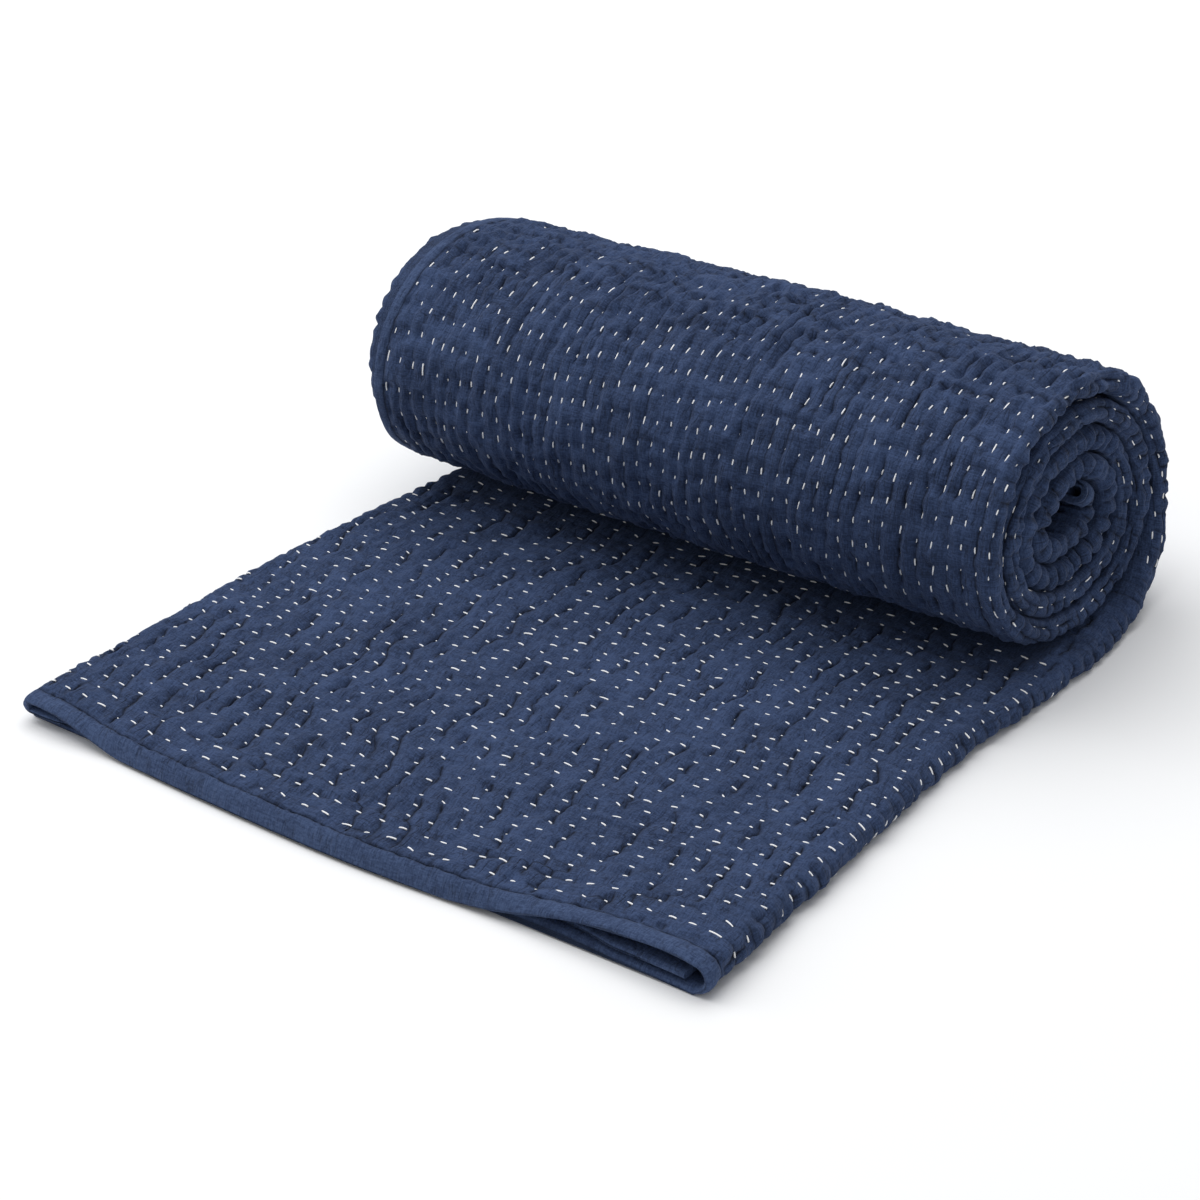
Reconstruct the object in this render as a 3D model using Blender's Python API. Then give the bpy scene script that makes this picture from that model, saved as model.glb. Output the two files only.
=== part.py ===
"""Kantha quilt: a padded cotton throw, folded in three along its length and rolled up from one end.

The cloth leaves the front edge flat on the floor, runs back under the roll, rises behind it and winds
inward. Its three layers lie a little apart: the folded cloth is one solid with a back-and-forth section.
The binding, which is cut and sewn on apart from the quilted cloth, is four solids round its edges.
Metres, +Z up. +X runs along the roll, +Y from the cloth's front edge to the roll.
"""

import math

import bmesh
import bpy
import numpy as np

# The cloth and how it is folded: three layers a little apart, the middle one ending just short of the
# right fold's middle.
LAYER = 0.0040
LAYER_GAP = 0.0005
STACK = 3 * LAYER + 2 * LAYER_GAP
MIDDLE_LAYER_SHORT = 0.005
SEAM_GAP = 0.0003
BINDING_WIDTH = 0.010
SIDE_BINDING_WIDTH = 0.0065

# How thick the binding is from its seam to its rim, as a share of a layer.
BINDING_PROFILE = (
    ("reach", "thickness"),
    (0.0, 1.0),
    (0.45, 0.92),
    (0.85, 0.80),
    (1.0, 0.55),
)

# The lowest layer's binding lies on the floor, so nearly all of its thinning is on its upper face.
LOWEST_THINNING = 0.2

# The winding: a spiral of squashed turns that leans forward a little, and the floor it starts from.
ROLL_MIDDLE_Y = 0.3555
ROLL_MIDDLE_Z = 0.077
LEAN = 0.17
FLOOR_END = ROLL_MIDDLE_Y + LEAN * ROLL_MIDDLE_Z
ORIGIN_X = 0.00275
ORIGIN_Y = 0.2195
SQUARENESS = 2.05
END_ANGLE = 1545.0
TURN_STEP = 15.0
LAID_STEP = 0.029

# The roll stands higher at its right end, by this share for each metre, and is fuller in the middle.
ROLL_TILT = 0.04
ROLL_BULGE = 0.0018

# How far the outer face of each turn lies from the roll's middle, in mm, as it passes below, behind,
# above and in front of it. The roll is squashed a little by its own weight.
WINDING = (
    ("turn", "bottom", "back", "top", "front"),
    (1, 77.0, 87.5, 79.0, 86.0),
    (2, 63.0, 73.0, 61.2, 70.5),
    (3, 48.6, 57.6, 46.4, 55.0),
    (4, 33.9, 42.2, 31.4, 39.3),
    (5, 19.6, 24.4, 17.2, 22.0),
)

# Where the two long sides of the folded strip lie, in mm, by the length of cloth from the front edge, and
# how far the fold of the upper two layers stands out beyond the lowest layer's bound edge on the left.
SIDES = (
    ("along", "left", "right", "fold_out"),
    (0, -212.0, 216.0, 0.0),
    (60, -213.0, 212.5, 0.0),
    (120, -211.5, 211.5, 0.0),
    (180, -209.0, 208.0, 0.0),
    (230, -203.5, 207.5, 0.0),
    (280, -197.5, 212.5, 0.0),
    (330, -192.5, 215.0, 0.0),
    (400, -193.5, 210.0, 2.0),
    (470, -196.0, 202.0, 7.0),
    (560, -193.5, 199.5, 15.5),
    (620, -194.0, 199.2, 15.0),
    (680, -197.4, 199.0, 10.4),
    (740, -203.0, 199.8, 5.4),
    (800, -206.0, 201.0, 1.0),
    (870, -203.0, 201.0, 0.0),
    (960, -198.0, 198.0, 0.0),
    (1150, -199.0, 200.0, 0.0),
    (1330, -196.0, 197.0, 0.0),
    (1500, -197.0, 198.0, 0.0),
    (1800, -195.0, 193.0, 0.0),
)

# How far the sewn folds swell and draw in, from one place along the cloth to the next.
PUCKER = 0.0012

# How far the front edge bows forward of a straight line, in mm, by the place across it.
FRONT_BOW = (
    ("across", "forward"),
    (-213, 0.0),
    (-160, 2.0),
    (-80, 5.8),
    (20, 7.4),
    (90, 3.6),
    (150, -1.6),
    (214, -0.6),
)
BOW_LENGTH = 0.14

# The upper layer's front edge droops over the lower two, which end a little behind it. The table says how
# much of the droop there is by the place across, and how far back each lower layer ends, in mm.
DROOP = 0.009
DROOP_START = 0.002
BACK_LENGTH = 0.07
DROOP_ACROSS = (
    ("across", "share", "lowest_back", "middle_back"),
    (-213, 0.5, 6.0, 0.0),
    (-190, 0.5, 6.0, 1.0),
    (-165, 0.8, 6.5, 8.0),
    (-145, 1.0, 6.5, 13.0),
    (75, 1.0, 6.5, 13.0),
    (105, 0.85, 5.5, 11.0),
    (140, 0.4, 2.6, 5.2),
    (165, 0.0, 0.0, 0.0),
    (214, 0.0, 0.0, 0.0),
)

# Soft rises of the upper two layers where the folds stand open: place and size of each, in mm.
RISES = (
    ("across", "along", "wide", "long", "height"),
    (196.0, -4.0, 34.0, 60.0, 6.5),
    (150.0, -6.0, 30.0, 34.0, 2.4),
    (-200.0, -4.0, 30.0, 50.0, 3.2),
    (-60.0, 90.0, 60.0, 50.0, 1.0),
    (90.0, 170.0, 70.0, 60.0, 1.0),
    (200.0, 150.0, 26.0, 120.0, 1.6),
)

RISES_FADE_START = 0.24
RISES_FADE_END = 0.30
MIDDLE_SHARE = 0.2

# The raised quilting: lengthwise ridges between the stitch rows, uneven and wandering, on the laid part
# by the length of cloth and on the roll by the angle, out of reach of the faces that lie on each other.
RIDGES = 47
RIDGE_HEIGHT = 0.0011
RIDGE_UNEVENNESS = 0.35
RIDGE_WANDER = 0.0011
WANDER_ACROSS = 0.9
WANDER_ALONG = 70.0
LAID_RIDGES_FADE = 0.285
LAID_RIDGES_END = 0.315
ROLL_RIDGES_START = 24.0
ROLL_RIDGES_END = 322.0
RIDGES_FADE_ANGLE = 14.0
SEED = 7

# How many columns of faces the plain rows have, and how far apart they stand along the front edge.
FRONT_STEP = 0.021
LAID_COLUMNS = 6
RIGHT_FOLD_STEPS = 6
INNER_FOLD_STEPS = 3
LEFT_FOLD_STEPS = 4
SHARP_ANGLE = 50.0

COLOURS = {
    "quilt": (0.040, 0.063, 0.127, 1.0),
    "binding": (0.046, 0.070, 0.135, 1.0),
}


def column(table, name):
    """One named column of a table, as an array."""
    index = table[0].index(name)
    return np.array([row[index] for row in table[1:]], dtype=float)


def smooth(table, key, name, at):
    """Reads a table between its rows on one smooth curve through them."""
    xs = column(table, key)
    ys = column(table, name)
    slopes = np.gradient(ys, xs)
    i = int(np.clip(np.searchsorted(xs, at) - 1, 0, len(xs) - 2))
    span = xs[i + 1] - xs[i]
    t = min(max((at - xs[i]) / span, 0.0), 1.0)
    rise = (3.0 - 2.0 * t) * t * t
    lead = t * (1.0 - t) ** 2 * slopes[i] - t * t * (1.0 - t) * slopes[i + 1]
    return ys[i] + (ys[i + 1] - ys[i]) * rise + lead * span


def step(value, start, end):
    """0 before start, 1 after end, and a soft rise between them."""
    t = min(max((value - start) / (end - start), 0.0), 1.0)
    return t * t * (3.0 - 2.0 * t)


def outer_face(angle):
    """The (y, z) of the winding's outer face after so many degrees: a closing spiral of squashed turns."""
    upright = [(i * 180.0, reach) for i, reach in enumerate(paired("bottom", "top"))]
    level = [(i * 180.0 + 90.0, reach) for i, reach in enumerate(paired("back", "front"))]
    high = smooth((("at", "reach"), *upright), "at", "reach", angle) / 1000.0
    wide = smooth((("at", "reach"), *level), "at", "reach", angle) / 1000.0
    turn = math.radians(angle)
    sides = abs(math.sin(turn) / wide) ** SQUARENESS + abs(math.cos(turn) / high) ** SQUARENESS
    reach = sides ** (-1.0 / SQUARENESS)
    back = reach * math.sin(turn)
    up = -reach * math.cos(turn)
    lean = LEAN * min(high / ROLL_MIDDLE_Z, 1.0)
    return np.array([ROLL_MIDDLE_Y + back - lean * up, max(ROLL_MIDDLE_Z + up, 0.0)])


def paired(first, second):
    """Two columns of the winding's table, read in turn."""
    return [reach for pair in zip(column(WINDING, first), column(WINDING, second)) for reach in pair]


def station(angle, y=0.0):
    """One place along the cloth: the point on its outer face and the way inward from it."""
    if angle <= 0.0:
        return {"face": np.array([y, 0.0]), "inward": np.array([0.0, 1.0]), "angle": 0.0}
    heading = outer_face(angle + 1.0) - outer_face(angle - 1.0)
    heading = heading / np.linalg.norm(heading)
    return {"face": outer_face(angle), "inward": np.array([-heading[1], heading[0]]), "angle": angle}


def stations():
    """Places along the cloth from its front edge to its wound-up end, with the length of cloth to each."""
    laid = np.linspace(BINDING_WIDTH, FLOOR_END, round(FLOOR_END / LAID_STEP))
    places = [station(0.0, y) for y in laid]
    places += [station(angle) for angle in np.arange(TURN_STEP, END_ANGLE + TURN_STEP / 2.0, TURN_STEP)]
    middles = [place["face"] + place["inward"] * STACK / 2.0 for place in places]
    along = 0.0
    for i, place in enumerate(places):
        along += np.linalg.norm(middles[i] - middles[i - 1]) if i else 0.0
        place["along"] = along
        place["pucker"] = PUCKER * (-1.0) ** i if place["angle"] > 0.0 else 0.0
    return places


def rise_at(across, place):
    """How far the upper layers stand above their flat place, in metres."""
    if place["angle"] > 0.0:
        return 0.0
    total = 0.0
    for row in RISES[1:]:
        rise = dict(zip(RISES[0], row))
        dx = (across * 1000.0 - rise["across"]) / rise["wide"]
        dy = (place["along"] * 1000.0 - rise["along"]) / rise["long"]
        total += rise["height"] / 1000.0 * math.exp(-dx * dx - dy * dy)
    return total * (1.0 - step(place["along"], RISES_FADE_START, RISES_FADE_END))


def laid_ridges(place):
    """How strongly the quilting is raised on the upper face here, from 0 to 1."""
    if place["angle"] > 0.0:
        return 0.0
    return 1.0 - step(place["along"], LAID_RIDGES_FADE, LAID_RIDGES_END)


def roll_ridges(place):
    """How strongly the quilting is raised on the outer face of the roll here, from 0 to 1."""
    begin = step(place["angle"], ROLL_RIDGES_START, ROLL_RIDGES_START + RIDGES_FADE_ANGLE)
    return begin * (1.0 - step(place["angle"], ROLL_RIDGES_END - RIDGES_FADE_ANGLE, ROLL_RIDGES_END))


def edges(place):
    """The left and right sides of the folded strip, and the middles of its two folds."""
    left = smooth(SIDES, "along", "left", place["along"] * 1000.0) / 1000.0
    right = smooth(SIDES, "along", "right", place["along"] * 1000.0) / 1000.0
    fold_out = smooth(SIDES, "along", "fold_out", place["along"] * 1000.0) / 1000.0
    left_fold = left - fold_out + (STACK - LAYER - LAYER_GAP) / 2.0
    right_fold = right - STACK / 2.0
    return left, left_fold, right_fold


def left_loop(left_fold, place):
    """The left fold's radius, and how far its middle lies from the strip's outer face."""
    rise = rise_at(left_fold, place)
    start = LAYER + LAYER_GAP + MIDDLE_SHARE * rise
    radius = (STACK + rise - start) / 2.0
    return radius, start + radius


def across_points(start, end, strength, place, noise, outward):
    """A row of (x, height) from start to end: raised quilting where strength is over 0, else a few points."""
    if strength <= 0.0:
        return plain_points(start, end, place)
    count = 2 * RIDGES
    points = []
    for i in range(count + 1):
        x = start + (end - start) * i / count
        crest = i % 2 == 1
        height = RIDGE_HEIGHT * (1.0 + RIDGE_UNEVENNESS * noise[i]) if crest else 0.0
        height += ROLL_BULGE * (1.0 - (x / start) ** 2) if outward < 0.0 else 0.0
        wander = 0.0
        if 0 < i < count:
            wander = RIDGE_WANDER * strength * math.sin(WANDER_ACROSS * i + WANDER_ALONG * place["along"])
        points.append((x + wander, outward * height * strength))
    return points


def plain_points(start, end, place):
    """A row of (x, height) along a plain face: straight in the roll, a few points where it is laid."""
    if place["along"] == 0.0:
        return [(x, 0.0) for x in front_columns(start, end)]
    columns = LAID_COLUMNS if place["along"] < LAID_RIDGES_END else 1
    return [(x, 0.0) for x in np.linspace(start, end, columns + 1)]


def front_columns(start, end):
    """Places across the front edge from start to end, the same ones for the cloth and for its binding."""
    low, high = sorted((start, end))
    numbers = range(math.ceil(low / FRONT_STEP + 0.2), math.floor(high / FRONT_STEP - 0.2) + 1)
    xs = [low] + [number * FRONT_STEP for number in numbers] + [high]
    return xs if start < end else xs[::-1]


def half_round(middle, radius, start, end, count, pucker=0.0):
    """Points of an arc about a fold's middle, from face to face of the cloth, its two ends left out."""
    points = []
    for i in range(1, count):
        turn = math.radians(start + (end - start) * i / count)
        points.append((middle[0] + (radius + pucker) * math.cos(turn), middle[1] + radius * math.sin(turn)))
    return points


def section(place, noise):
    """The strip's section as runs of (x, depth from the outer face), in order round it."""
    left, left_fold, right_fold = edges(place)
    lowest_left = left + SIDE_BINDING_WIDTH + SEAM_GAP
    inner_end = right_fold - MIDDLE_LAYER_SHORT - SIDE_BINDING_WIDTH - SEAM_GAP
    top = STACK
    under_top = STACK - LAYER
    mid_top = 2 * LAYER + LAYER_GAP
    mid_low = LAYER + LAYER_GAP

    def lifted(points, depth, share=1.0):
        return [(x, depth + h + share * rise_at(x, place)) for x, h in points]

    def plain(start, end):
        return plain_points(start, end, place)

    right_rise = rise_at(right_fold, place)
    outer_radius = (STACK + right_rise) / 2.0
    inner_radius = outer_radius - LAYER
    outer_middle = (right_fold, outer_radius)
    fold_radius, fold_depth = left_loop(left_fold, place)
    fold_middle = (left_fold, fold_depth)
    low = across_points(lowest_left, right_fold, roll_ridges(place), place, noise, -1.0)
    high = across_points(right_fold, left_fold, laid_ridges(place), place, noise[::-1], 1.0)
    return {
        "low_face": low,
        "right_fold": half_round(outer_middle, outer_radius, -90, 90, RIGHT_FOLD_STEPS, place["pucker"]),
        "top_face": lifted(high, top),
        "left_fold": half_round(fold_middle, fold_radius, 90, 270, LEFT_FOLD_STEPS, place["pucker"]),
        "mid_low_face": lifted(plain(left_fold, inner_end), mid_low, MIDDLE_SHARE),
        "mid_top_face": lifted(plain(inner_end, left_fold), mid_top, MIDDLE_SHARE),
        "top_under_face": lifted(plain(left_fold, right_fold), under_top),
        "right_inner": half_round(outer_middle, inner_radius, 90, -90, INNER_FOLD_STEPS),
        "low_top_face": [(x, LAYER) for x, _ in plain(right_fold, lowest_left)],
    }


def droop(place, x, depth):
    """How far back a layer is drawn near the front edge here, and how far down the upper layer hangs."""
    from_seam = place["face"][0] - BINDING_WIDTH
    if from_seam > BACK_LENGTH:
        return 0.0, 0.0
    share = min(max(smooth(DROOP_ACROSS, "across", "share", x * 1000.0), 0.0), 1.0)
    rise = rise_at(x, place)
    middle_rise = MIDDLE_SHARE * rise
    over_lowest = (depth - LAYER) / (LAYER_GAP + middle_rise)
    over_middle = (depth - 2 * LAYER - LAYER_GAP - middle_rise) / (LAYER_GAP + rise - middle_rise)
    middle = min(max(over_lowest, 0.0), 1.0)
    upper = min(max(over_middle, 0.0), 1.0)
    lowest_back = max(smooth(DROOP_ACROSS, "across", "lowest_back", x * 1000.0), 0.0) / 1000.0
    middle_back = max(smooth(DROOP_ACROSS, "across", "middle_back", x * 1000.0), 0.0) / 1000.0
    back = lowest_back * (1.0 - middle) + middle_back * (middle - upper)
    fall = min(max((DROOP_START - from_seam) / (DROOP_START + BINDING_WIDTH), 0.0), 1.0)
    fade = 1.0 - step(from_seam, -BINDING_WIDTH, BACK_LENGTH)
    return back * fade, DROOP * share**3 * upper * fall**2


def world(place, x, depth):
    """The point in space of a place across the strip and a depth inward from its outer face."""
    y, z = place["face"] + place["inward"] * depth
    back, down = droop(place, x, depth)
    fade = 1.0 - step(place["along"], 0.0, BOW_LENGTH)
    bow = smooth(FRONT_BOW, "across", "forward", x * 1000.0) / 1000.0 * fade
    return (x - ORIGIN_X, y + back - bow - ORIGIN_Y, (z - down) * (1.0 + ROLL_TILT * x))


def zip_rows(mesh, first, second):
    """Joins two rows of points with triangles, also where one row has more points than the other."""
    i = j = 0
    while i < len(first) - 1 or j < len(second) - 1:
        next_i = (i + 1) / (len(first) - 1) if i < len(first) - 1 else 2.0
        next_j = (j + 1) / (len(second) - 1) if j < len(second) - 1 else 2.0
        if abs(next_i - next_j) < 1e-9:
            mesh.faces.new((first[i], first[i + 1], second[j + 1], second[j]))
            i += 1
            j += 1
        elif next_i < next_j:
            mesh.faces.new((first[i], first[i + 1], second[j]))
            i += 1
        else:
            mesh.faces.new((first[i], second[j + 1], second[j]))
            j += 1


def close_end(mesh, ring):
    """Closes the end of a lofted solid: layer by layer and fold by fold where the strip is folded."""
    if "top_face" not in ring:
        mesh.faces.new([vert for run in ring.values() for vert in run])
        return
    low = ring["low_face"]
    top = ring["top_face"]
    under = ring["top_under_face"]
    mid_low = ring["mid_low_face"]
    mid_top = ring["mid_top_face"]
    low_top = ring["low_top_face"]
    zip_rows(mesh, low, low_top[::-1])
    zip_rows(mesh, top, under[::-1])
    zip_rows(mesh, mid_low, mid_top[::-1])
    outside = low[-1:] + ring["right_fold"] + top[:1]
    inside = low_top[:1] + ring["right_inner"][::-1] + under[-1:]
    zip_rows(mesh, outside, inside)
    zip_rows(mesh, top[-1:] + ring["left_fold"] + mid_low[:1], [under[0], mid_top[-1]])


def loft(name, places, sections, material):
    """A solid through sections that each hold the same named runs of points, with flat ends."""
    mesh = bmesh.new()
    rings = []
    for place, runs in zip(places, sections):
        rings.append({key: [mesh.verts.new(world(place, *p)) for p in run] for key, run in runs.items()})
    keys = list(rings[0])
    for here, ahead in zip(rings, rings[1:]):
        for key, after in zip(keys, keys[1:] + keys[:1]):
            zip_rows(mesh, here[key] + here[after][:1], ahead[key] + ahead[after][:1])
    for ring in (rings[0], rings[-1]):
        close_end(mesh, ring)
    bmesh.ops.recalc_face_normals(mesh, faces=mesh.faces)
    data = bpy.data.meshes.new(name)
    mesh.to_mesh(data)
    mesh.free()
    data.materials.append(material)
    data.shade_smooth()
    data.set_sharp_from_angle(angle=math.radians(SHARP_ANGLE))
    made = bpy.data.objects.new(name, data)
    bpy.context.scene.collection.objects.link(made)
    return made


def flat_strip(left, right, low, high):
    """A bound edge's section."""
    return {"low": [(left, low)], "right": [(right, low)], "high": [(right, high)], "left": [(left, high)]}


def side_binding_section(place):
    """The binding on the free edge of the lowest layer."""
    left = edges(place)[0]
    return flat_strip(left, left + SIDE_BINDING_WIDTH, 0.0, LAYER)


def inner_binding_section(place):
    """The binding on the free edge of the middle layer, which lies inside the right fold."""
    right_fold = edges(place)[2]
    end = right_fold - MIDDLE_LAYER_SHORT
    low = LAYER + LAYER_GAP + MIDDLE_SHARE * rise_at(end - SIDE_BINDING_WIDTH, place)
    return flat_strip(end - SIDE_BINDING_WIDTH, end, low, low + LAYER)


def end_binding_section(place, thickness):
    """The binding across the folded strip's end: its section, each layer thinned about its own middle."""
    left, left_fold, right_fold = edges(place)
    thin = (LAYER - thickness) / 2.0
    end = right_fold - MIDDLE_LAYER_SHORT
    levels = [0.0, LAYER + LAYER_GAP, 2 * (LAYER + LAYER_GAP)]
    right_rise = rise_at(right_fold, place)
    outer_radius = (STACK + right_rise) / 2.0
    outer_middle = (right_fold, outer_radius)
    fold_radius, fold_depth = left_loop(left_fold, place)
    fold_middle = (left_fold, fold_depth)

    def run(start, stop, depth, share):
        return [(x, depth + share * rise_at(x, place)) for x in front_columns(start, stop)]

    return {
        "low_face": run(left, right_fold, LOWEST_THINNING * thin, 0.0),
        "right_fold": half_round(outer_middle, outer_radius - thin, -90, 90, RIGHT_FOLD_STEPS),
        "top_face": run(right_fold, left_fold, STACK - thin, 1.0),
        "left_fold": half_round(fold_middle, fold_radius - thin, 90, 270, LEFT_FOLD_STEPS),
        "mid_low_face": run(left_fold, end, levels[1] + thin, MIDDLE_SHARE),
        "mid_top_face": run(end, left_fold, levels[1] + LAYER - thin, MIDDLE_SHARE),
        "top_under_face": run(left_fold, right_fold, levels[2] + thin, 1.0),
        "right_inner": half_round(outer_middle, outer_radius - LAYER + thin, 90, -90, INNER_FOLD_STEPS),
        "low_top_face": run(right_fold, left, LAYER - (2.0 - LOWEST_THINNING) * thin, 0.0),
    }


def fabric(name):
    """A matt cotton."""
    material = bpy.data.materials.new(name)
    material.use_nodes = True
    shader = material.node_tree.nodes["Principled BSDF"]
    shader.inputs["Base Color"].default_value = COLOURS[name]
    shader.inputs["Roughness"].default_value = 0.9
    shader.inputs["Metallic"].default_value = 0.0
    return material


def build_quilt(places, material):
    """The quilted cloth, folded in three and wound."""
    draws = np.random.default_rng(SEED)
    sections = [section(place, draws.uniform(-1.0, 1.0, 2 * RIDGES + 1)) for place in places]
    return loft("quilt", places, sections, material)


def build_side_bindings(places, material):
    """The binding of the two long edges of the cloth."""
    loft("binding_outer_side", places, [side_binding_section(p) for p in places], material)
    loft("binding_inner_side", places, [inner_binding_section(p) for p in places], material)


def beyond(place, distance):
    """The place so far past one of the cloth's ends, on the floor or on the winding."""
    if place["angle"] > 0.0:
        reach = np.linalg.norm(place["face"] - (ROLL_MIDDLE_Y, ROLL_MIDDLE_Z))
        return {**place, **station(place["angle"] + math.degrees(distance / reach))}
    return {**place, "face": place["face"] - (distance, 0.0)}


def build_end_binding(name, end, material):
    """The binding of one short end, which follows the cloth's folds and thins to its rim."""
    places = []
    sections = []
    for reach, thickness in zip(column(BINDING_PROFILE, "reach"), column(BINDING_PROFILE, "thickness")):
        place = beyond(end, SEAM_GAP + reach * (BINDING_WIDTH - SEAM_GAP))
        places.append(place)
        sections.append(end_binding_section(place, LAYER * thickness))
    loft(name, places, sections, material)


def main():
    for old in list(bpy.data.objects):
        bpy.data.objects.remove(old)
    places = stations()
    quilt = fabric("quilt")
    binding = fabric("binding")
    build_quilt(places, quilt)
    build_side_bindings(places, binding)
    build_end_binding("binding_front_end", places[0], binding)
    build_end_binding("binding_wound_end", places[-1], binding)
    print(f"length of cloth {places[-1]['along'] + 2 * BINDING_WIDTH:.3f} m")


main()
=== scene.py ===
# Kantha quilt: a padded navy cotton throw with rows of white running stitch, folded in three along its
# length and rolled up from one end. The cloth is modelled along the same path as the solids: it leaves the
# front edge flat on the floor, runs under the roll, rises behind it and winds inward. On that path the rows
# of stitches draw it in, so that it puckers and puffs between them.
# Metres and degrees, unless a name or a comment says mm. +X runs along the roll, +Y from the front edge.

import math
from types import SimpleNamespace

import bpy
import numpy as np
from mathutils import Matrix, Vector

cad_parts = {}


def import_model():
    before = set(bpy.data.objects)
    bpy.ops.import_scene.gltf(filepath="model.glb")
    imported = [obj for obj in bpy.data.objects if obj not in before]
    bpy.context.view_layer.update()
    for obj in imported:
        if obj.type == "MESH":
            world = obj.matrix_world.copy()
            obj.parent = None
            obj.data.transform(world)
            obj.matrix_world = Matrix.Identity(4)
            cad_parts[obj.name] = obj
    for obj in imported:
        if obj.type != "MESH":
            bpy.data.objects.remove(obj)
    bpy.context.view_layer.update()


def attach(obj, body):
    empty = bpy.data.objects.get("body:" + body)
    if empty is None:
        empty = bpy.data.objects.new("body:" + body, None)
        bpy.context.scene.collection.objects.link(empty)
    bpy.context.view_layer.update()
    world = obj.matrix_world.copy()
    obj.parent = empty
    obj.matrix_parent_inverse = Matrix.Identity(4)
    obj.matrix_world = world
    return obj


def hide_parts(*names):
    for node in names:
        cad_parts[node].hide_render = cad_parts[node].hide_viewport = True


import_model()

# Millimetres in a metre.
MM = 1000.0

# ---- the cloth, its folds and its winding: the same sizes as the solids have ----

LAYER = 0.0040
LAYER_GAP = 0.0005
STACK = 3 * LAYER + 2 * LAYER_GAP
SECOND_LAYER = LAYER + LAYER_GAP
MIDDLE_LAYER_SHORT = 0.005
BINDING_WIDTH = 0.010
SIDE_BINDING_WIDTH = 0.0065
CLOTH_WIDTH = 1.27

# The binding thins towards its rim, but on the face that lies on the floor only by this share of it.
LOWEST_THINNING = 0.2

# The roll's middle, and how far its section leans forward, as a share of the height over that middle.
ROLL_MIDDLE_Y = 0.3555
ROLL_MIDDLE_Z = 0.077
LEAN = 0.17
FLOOR_END = ROLL_MIDDLE_Y + LEAN * ROLL_MIDDLE_Z
FLOOR_LENGTH = FLOOR_END - BINDING_WIDTH

# The frame's origin, measured from the middle of the front edge.
ORIGIN_X = 0.00275
ORIGIN_Y = 0.2195

# At 2 each turn would be an ellipse. Above 2 its corners are fuller.
SQUARENESS = 2.05
END_ANGLE = 1545.0

# The roll grows higher towards its right end, by this share a metre, and swells out half-way along.
ROLL_TILT = 0.04
ROLL_BULGE = 0.0018

# How far the outer face of each turn lies from the roll's middle, in mm.
WINDING = (
    ("turn", "bottom", "back", "top", "front"),
    (1, 77, 87.5, 79, 86),
    (2, 63, 73, 61.2, 70.5),
    (3, 48.6, 57.6, 46.4, 55),
    (4, 33.9, 42.2, 31.4, 39.3),
    (5, 19.6, 24.4, 17.2, 22),
)

# Where the two long sides of the folded strip lie, in mm, by the length of cloth from the front seam, and
# how far the fold of the upper two layers stands out beyond the lowest layer's bound edge on the left.
SIDES = (
    ("along", "left", "right", "fold_out"),
    (0, -212, 216, 0),
    (60, -213, 212.5, 0),
    (120, -211.5, 211.5, 0),
    (180, -209, 208, 0),
    (230, -203.5, 207.5, 0),
    (280, -197.5, 212.5, 0),
    (330, -192.5, 215, 0),
    (400, -193.5, 210, 2),
    (470, -196, 202, 7),
    (560, -193.5, 199.5, 15.5),
    (620, -194, 199.2, 15),
    (680, -197.4, 199, 10.4),
    (740, -203, 199.8, 5.4),
    (800, -206, 201, 1),
    (870, -203, 201, 0),
    (960, -198, 198, 0),
    (1150, -199, 200, 0),
    (1330, -196, 197, 0),
    (1500, -197, 198, 0),
    (1800, -195, 193, 0),
)

# How far the front edge bows forward of a straight line, in mm, by the place across it.
FRONT_BOW = (
    ("across", "forward"),
    (-213, 0),
    (-160, 2),
    (-80, 5.8),
    (20, 7.4),
    (90, 3.6),
    (150, -1.6),
    (214, -0.6),
)
BOW_LENGTH = 0.14

# The upper layer's front edge droops over the lower two, which end a little behind it, and its seam lies
# forward. The table says how much of that there is by the place across, and how far back each lower layer
# ends, in mm.
DROOP = 0.009
DROOP_START = 0.002
BACK_LENGTH = 0.07
SEAM_FORWARD = 0.0034
SEAM_LENGTH = 0.006
DROOP_ACROSS = (
    ("across", "share", "lowest_back", "middle_back"),
    (-213, 0.5, 6, 0),
    (-190, 0.5, 6, 1),
    (-165, 0.8, 6.5, 8),
    (-145, 1, 6.5, 13),
    (75, 1, 6.5, 13),
    (105, 0.85, 5.5, 11),
    (140, 0.4, 2.6, 5.2),
    (165, 0, 0, 0),
    (214, 0, 0, 0),
)

# Soft rises of the upper two layers where the folds stand open: place and size of each, in mm.
RISES = (
    ("across", "along", "wide", "long", "height"),
    (196, -4, 34, 60, 6.5),
    (150, -6, 30, 34, 2.4),
    (-200, -4, 30, 50, 3.2),
    (-60, 90, 60, 50, 1),
    (90, 170, 70, 60, 1),
    (200, 150, 26, 120, 1.6),
)
RISES_FADE_START = 0.24
RISES_FADE_END = 0.30

# The middle layer rises by this share of the upper one's rise.
MIDDLE_SHARE = 0.2

# ---- the quilting, in mm ----

SEED = 7

# From stitch to stitch on the rows across the cloth, on those along it and on the border's.
PITCH = 14.0
SIDE_PITCH = 12.7
BORDER_PITCH = 12.3

# How far from the cloth's edge the first rows run, and the gap between the others. The relief takes the
# same mean gap for both sets.
FRONT_ROWS_START = (14.5, 25.0, 36.0)
FRONT_ROW_GAP = 9.3
SIDE_ROWS_START = (8.4,)
SIDE_ROW_GAP = 8.6
MEAN_ROW_GAP = 9.0
ROWS = 76

# The border is the first two rows behind the front edge, where the furrows along the rows show most.
BORDER_ROWS = 2
BORDER_END = 29.5
BORDER_GAINS = {"crease": 1.25, "groove": 0.7, "furrow": 0.8, "dimple": 0.4}

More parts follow.
